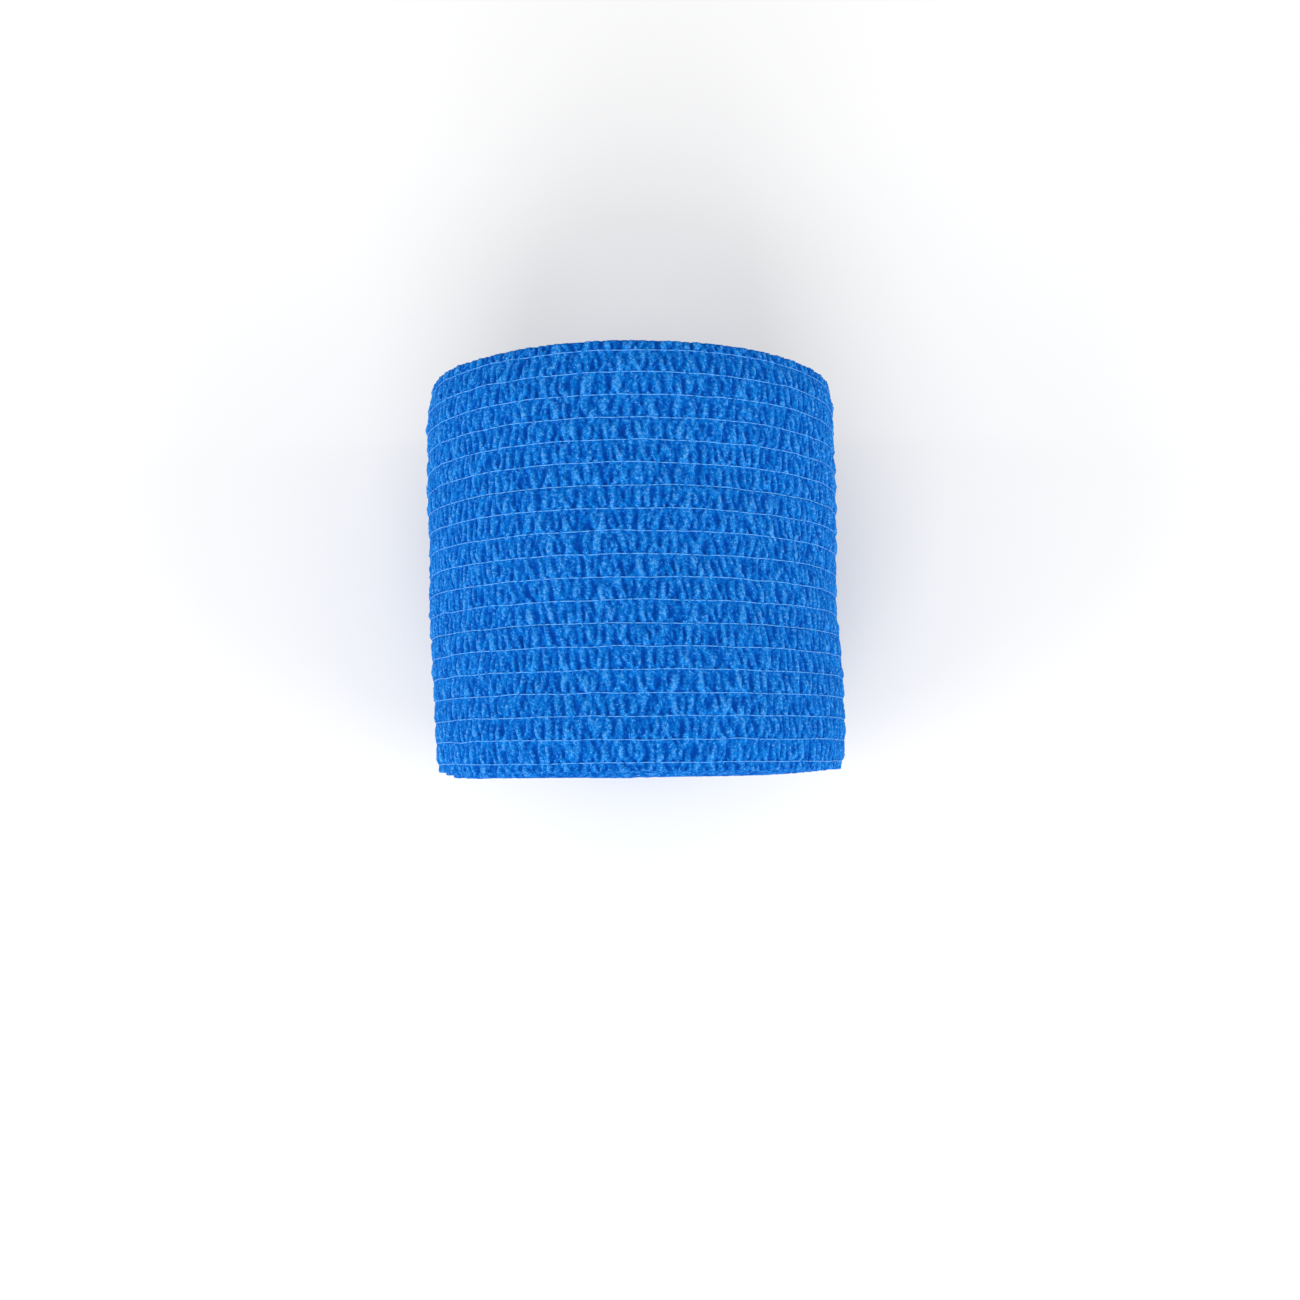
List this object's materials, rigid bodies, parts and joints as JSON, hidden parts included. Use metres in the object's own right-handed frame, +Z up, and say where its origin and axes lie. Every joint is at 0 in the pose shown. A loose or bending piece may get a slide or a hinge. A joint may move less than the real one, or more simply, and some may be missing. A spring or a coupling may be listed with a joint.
{
  "type": "cohesive bandage roll",
  "caption": "Short roll of crinkled, self-adhering elastic bandage, wound on itself without a core and lying on its side; wraps dressings, joints and limbs.",
  "frame": {"origin": "middle of the roll's footprint box, on the surface that it rests on", "axes": "+Z up; Y along the roll's axis, its outermost turns standing out towards +Y; +X the side where the free end is pressed down"},
  "size_m": [0.054, 0.0508, 0.0524],
  "materials": {
    "bandage_cloth": "dull crinkled nonwoven, bright blue",
    "elastic_thread": "fine pale elastic thread laid in the cloth"
  },
  "bodies": {
    "root": {"bandage_roll": "bandage_cloth"}
  },
  "joints": []
}
